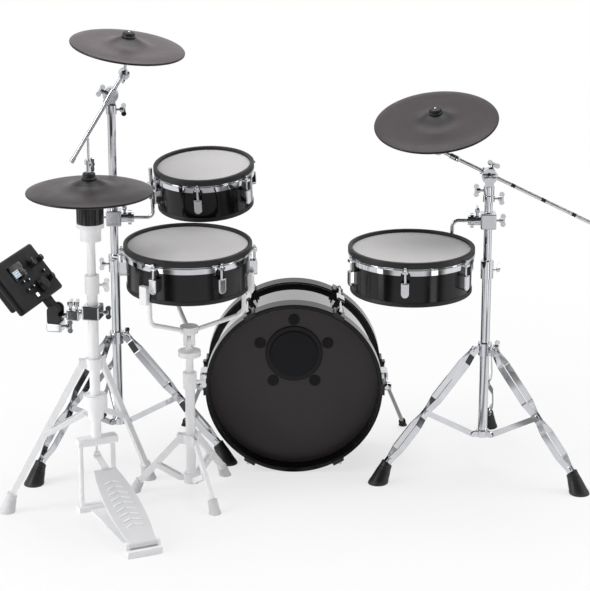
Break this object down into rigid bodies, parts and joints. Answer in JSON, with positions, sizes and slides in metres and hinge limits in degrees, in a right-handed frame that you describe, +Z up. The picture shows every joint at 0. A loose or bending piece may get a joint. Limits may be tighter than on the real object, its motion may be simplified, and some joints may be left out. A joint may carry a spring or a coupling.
{
  "type": "electronic drum kit",
  "caption": "Electronic drum kit: kick drum, mesh pads and rubber cymbal pads on folding chrome stands, with a hi-hat stand and pedal, a snare stand and a tilting sound module.",
  "frame": {"origin": "on the floor, under the middle of the kit's outline", "axes": "+X to the drummer's right, +Y away from the drummer, +Z up"},
  "size_m": [1.6294, 1.0546, 1.2097],
  "materials": {
    "black_lacquer": "gloss lacquer",
    "chrome": "polished",
    "rim_rubber": "matte",
    "mesh": "fine woven mesh",
    "drum_film": "satin",
    "cushion_rubber": "matte",
    "cymbal_rubber": "matte, fine turned lines",
    "pale_lacquer": "satin white",
    "black_plastic": "satin",
    "grey_rubber": "matte"
  },
  "bodies": {
    "kit_base": {"kick_shell": "black_lacquer", "kick_hoops": "black_lacquer", "kick_batter_head": "drum_film", "kick_sensor_pad": "cushion_rubber", "kick_front_head": "drum_film", "kick_claws": "black_lacquer", "kick_lugs": "chrome", "left_column": "chrome", "right_column": "chrome", "hihat_stand": "pale_lacquer", "hihat_sensor_unit": "black_plastic", "snare_stand_base": "pale_lacquer"},
    "kick_spur_left": {"kick_spur_left": "chrome"},
    "kick_spur_right": {"kick_spur_right": "chrome"},
    "left_leg_collar": {"left_leg_collar": "chrome"},
    "left_leg_a": {"left_leg_a": "chrome"},
    "left_strut_a": {"left_strut_a": "chrome"},
    "left_leg_b": {"left_leg_b": "chrome"},
    "left_strut_b": {"left_strut_b": "chrome"},
    "left_leg_c": {"left_leg_c": "chrome"},
    "left_strut_c": {"left_strut_c": "chrome"},
    "left_upper": {"left_upper_tube": "chrome", "left_tom_mount": "chrome"},
    "left_boom_tilter": {"left_boom_tilter": "chrome"},
    "left_boom_rod": {"left_boom_rod": "chrome"},
    "left_cymbal_tilter": {"left_cymbal_tilter": "chrome"},
    "crash_cymbal": {"crash_cymbal": "cymbal_rubber"},
    "tom": {"tom_shell": "black_lacquer", "tom_hoop": "chrome", "tom_rim": "rim_rubber", "tom_head": "mesh"},
    "right_leg_collar": {"right_leg_collar": "chrome"},
    "right_leg_a": {"right_leg_a": "chrome"},
    "right_strut_a": {"right_strut_a": "chrome"},
    "right_leg_b": {"right_leg_b": "chrome"},
    "right_strut_b": {"right_strut_b": "chrome"},
    "right_leg_c": {"right_leg_c": "chrome"},
    "right_strut_c": {"right_strut_c": "chrome"},
    "right_upper": {"right_upper_tube": "chrome", "right_tom_mount": "chrome"},
    "right_boom_tilter": {"right_boom_tilter": "chrome"},
    "right_boom_rod": {"right_boom_rod": "chrome"},
    "right_cymbal_tilter": {"right_cymbal_tilter": "chrome"},
    "ride_cymbal": {"ride_cymbal": "cymbal_rubber"},
    "floor_tom": {"floor_tom_shell": "black_lacquer", "floor_tom_hoop": "chrome", "floor_tom_rim": "rim_rubber", "floor_tom_head": "mesh"},
    "hihat_footboard": {"hihat_footboard": "pale_lacquer"},
    "hihat_pad": {"hihat_rod": "chrome", "hihat_cymbal": "cymbal_rubber"},
    "snare": {"snare_stand_basket": "pale_lacquer", "snare_shell": "black_lacquer", "snare_hoop": "chrome", "snare_rim": "rim_rubber", "snare_head": "mesh"},
    "module_clamp": {"module_clamp": "chrome"},
    "module": {"module_case": "black_plastic"},
    "module_dial": {"module_dial": "black_plastic"},
    "module_buttons": {"module_buttons": "grey_rubber"}
  },
  "joints": [
    {"name": "kick_spur_left_fold", "type": "hinge", "parent": "kit_base", "child": "kick_spur_left", "pos_m": [-0.29726, 0.18488, 0.20586], "axis": [1, 0, 0], "range_deg": [0, 60]},
    {"name": "kick_spur_right_fold", "type": "hinge", "parent": "kit_base", "child": "kick_spur_right", "pos_m": [0.22186, 0.18488, 0.20586], "axis": [1, 0, 0], "range_deg": [0, 60]},
    {"name": "left_legs_fold", "type": "slide", "parent": "kit_base", "child": "left_leg_collar", "axis": [0, 0, 1], "range_m": [0, 0.13417]},
    {"name": "left_leg_a_swing", "type": "hinge", "parent": "left_leg_collar", "child": "left_leg_a", "pos_m": [-0.53722, 0.22764, 0.347], "axis": [-0.9588, -0.284, 0], "range_deg": [0, 35.42]},
    {"name": "left_strut_a_swing", "type": "hinge", "parent": "kit_base", "child": "left_strut_a", "pos_m": [-0.53722, 0.22764, 0.101], "axis": [0.9588, 0.284, 0], "range_deg": [0, 52.04]},
    {"name": "left_leg_b_swing", "type": "hinge", "parent": "left_leg_collar", "child": "left_leg_b", "pos_m": [-0.54935, 0.17712, 0.347], "axis": [0.7254, -0.6884, 0], "range_deg": [0, 35.42]},
    {"name": "left_strut_b_swing", "type": "hinge", "parent": "kit_base", "child": "left_strut_b", "pos_m": [-0.54935, 0.17712, 0.101], "axis": [-0.7254, 0.6884, 0], "range_deg": [0, 52.04]},
    {"name": "left_leg_c_swing", "type": "hinge", "parent": "left_leg_collar", "child": "left_leg_c", "pos_m": [-0.49953, 0.19188, 0.347], "axis": [0.2334, 0.9724, 0], "range_deg": [0, 35.42]},
    {"name": "left_strut_c_swing", "type": "hinge", "parent": "kit_base", "child": "left_strut_c", "pos_m": [-0.49953, 0.19188, 0.101], "axis": [-0.2334, -0.9724, 0], "range_deg": [0, 52.04]},
    {"name": "left_height", "type": "slide", "parent": "kit_base", "child": "left_upper", "axis": [0, 0, 1], "range_m": [0, 0.15]},
    {"name": "left_boom_tilt", "type": "hinge", "parent": "left_upper", "child": "left_boom_tilter", "pos_m": [-0.5287, 0.19888, 1.031], "axis": [0, 1, 0], "range_deg": [-25, 20]},
    {"name": "left_boom_slide", "type": "slide", "parent": "left_boom_tilter", "child": "left_boom_rod", "axis": [0.515, 0, 0.8572], "range_m": [-0.03, 0.12]},
    {"name": "left_cymbal_tilt", "type": "hinge", "parent": "left_boom_rod", "child": "left_cymbal_tilter", "pos_m": [-0.4911, 0.17783, 1.09357], "axis": [0.1877, -0.9757, -0.1128], "range_deg": [-20, 20]},
    {"name": "crash_cymbal_swing", "type": "hinge", "parent": "left_cymbal_tilter", "child": "crash_cymbal", "pos_m": [-0.4758, 0.15822, 1.18852], "axis": [0.9908, 0.012, -0.1347], "range_deg": [-6, 6], "stiffness_Nm_per_rad": 4},
    {"name": "tom_swivel", "type": "hinge", "parent": "left_upper", "child": "tom", "pos_m": [-0.4207, 0.19888, 0.69], "axis": [-0.0381, -0.1149, 0.9927], "range_deg": [0, 25]},
    {"name": "right_legs_fold", "type": "slide", "parent": "kit_base", "child": "right_leg_collar", "axis": [0, 0, 1], "range_m": [0, 0.13417]},
    {"name": "right_leg_a_swing", "type": "hinge", "parent": "right_leg_collar", "child": "right_leg_a", "pos_m": [0.48697, 0.12759, 0.347], "axis": [-0.9903, 0.1392, 0], "range_deg": [0, 35.42]},
    {"name": "right_strut_a_swing", "type": "hinge", "parent": "kit_base", "child": "right_strut_a", "pos_m": [0.48697, 0.12759, 0.101], "axis": [0.9903, -0.1392, 0], "range_deg": [0, 52.04]},
    {"name": "right_leg_b_swing", "type": "hinge", "parent": "right_leg_collar", "child": "right_leg_b", "pos_m": [0.45498, 0.08664, 0.347], "axis": [0.3746, -0.9272, 0], "range_deg": [0, 35.42]},
    {"name": "right_strut_b_swing", "type": "hinge", "parent": "kit_base", "child": "right_strut_b", "pos_m": [0.45498, 0.08664, 0.101], "axis": [-0.3746, 0.9272, 0], "range_deg": [0, 52.04]},
    {"name": "right_leg_c_swing", "type": "hinge", "parent": "right_leg_collar", "child": "right_leg_c", "pos_m": [0.50644, 0.07941, 0.347], "axis": [0.6157, 0.788, 0], "range_deg": [0, 35.42]},
    {"name": "right_strut_c_swing", "type": "hinge", "parent": "kit_base", "child": "right_strut_c", "pos_m": [0.50644, 0.07941, 0.101], "axis": [-0.6157, -0.788, 0], "range_deg": [0, 52.04]},
    {"name": "right_height", "type": "slide", "parent": "kit_base", "child": "right_upper", "axis": [0, 0, 1], "range_m": [-0.07, 0.15]},
    {"name": "right_boom_tilt", "type": "hinge", "parent": "right_upper", "child": "right_boom_tilter", "pos_m": [0.4828, 0.09788, 0.832], "axis": [0, 1, 0], "range_deg": [-15, 20]},
    {"name": "right_boom_slide", "type": "slide", "parent": "right_boom_tilter", "child": "right_boom_rod", "axis": [-0.8988, 0, 0.4384], "range_m": [-0.1, 0.15]},
    {"name": "right_cymbal_tilt", "type": "hinge", "parent": "right_boom_rod", "child": "right_cymbal_tilter", "pos_m": [0.34663, 0.11893, 0.89841], "axis": [0.1404, 0.9473, 0.2879], "range_deg": [-20, 20]},
    {"name": "ride_cymbal_swing", "type": "hinge", "parent": "right_cymbal_tilter", "child": "ride_cymbal", "pos_m": [0.33722, 0.10238, 0.99673], "axis": [0.9939, -0.0305, 0.1063], "range_deg": [-6, 6], "stiffness_Nm_per_rad": 4},
    {"name": "floor_tom_swivel", "type": "hinge", "parent": "right_upper", "child": "floor_tom", "pos_m": [0.3868, 0.09788, 0.709], "axis": [0, 0, 1], "range_deg": [-20, 20]},
    {"name": "hihat_pedal", "type": "hinge", "parent": "kit_base", "child": "hihat_footboard", "pos_m": [-0.41962, -0.48795, 0.027], "axis": [-0.9063, -0.4226, 0], "range_deg": [0, 6], "stiffness_Nm_per_rad": 12, "springref_deg": -34.38},
    {"name": "hihat_rod_slide", "type": "slide", "parent": "kit_base", "child": "hihat_pad", "axis": [0, 0, -1], "range_m": [0, 0.02848]},
    {"name": "snare_basket_tilt", "type": "hinge", "parent": "kit_base", "child": "snare", "pos_m": [-0.3137, -0.09312, 0.432], "axis": [1, 0, 0], "range_deg": [0, 12]},
    {"name": "module_swivel", "type": "hinge", "parent": "kit_base", "child": "module_clamp", "pos_m": [-0.5557, -0.19612, 0.547], "axis": [0, 0, 1], "range_deg": [-15, 15]},
    {"name": "module_tilt", "type": "hinge", "parent": "module_clamp", "child": "module", "pos_m": [-0.65462, -0.17343, 0.54463], "axis": [0.2924, 0.9563, 0], "range_deg": [-20, 20]},
    {"name": "module_dial_turn", "type": "hinge", "parent": "module", "child": "module_dial", "pos_m": [-0.68737, -0.17396, 0.61172], "axis": [0.7432, -0.2272, 0.6293], "continuous": true},
    {"name": "module_buttons_press", "type": "slide", "parent": "module", "child": "module_buttons", "axis": [-0.7432, 0.2272, -0.6293], "range_m": [0, 0.0012], "stiffness_N_per_m": 500}
  ],
  "couplings": [
    {"joint": "left_leg_a_swing", "follows": "left_legs_fold", "rad_per_m": 4.6058},
    {"joint": "left_strut_a_swing", "follows": "left_legs_fold", "rad_per_m": 6.768},
    {"joint": "left_leg_b_swing", "follows": "left_legs_fold", "rad_per_m": 4.6058},
    {"joint": "left_strut_b_swing", "follows": "left_legs_fold", "rad_per_m": 6.768},
    {"joint": "left_leg_c_swing", "follows": "left_legs_fold", "rad_per_m": 4.6058},
    {"joint": "left_strut_c_swing", "follows": "left_legs_fold", "rad_per_m": 6.768},
    {"joint": "right_leg_a_swing", "follows": "right_legs_fold", "rad_per_m": 4.6058},
    {"joint": "right_strut_a_swing", "follows": "right_legs_fold", "rad_per_m": 6.768},
    {"joint": "right_leg_b_swing", "follows": "right_legs_fold", "rad_per_m": 4.6058},
    {"joint": "right_strut_b_swing", "follows": "right_legs_fold", "rad_per_m": 6.768},
    {"joint": "right_leg_c_swing", "follows": "right_legs_fold", "rad_per_m": 4.6058},
    {"joint": "right_strut_c_swing", "follows": "right_legs_fold", "rad_per_m": 6.768},
    {"joint": "hihat_rod_slide", "follows": "hihat_pedal", "m_per_rad": 0.27147}
  ]
}
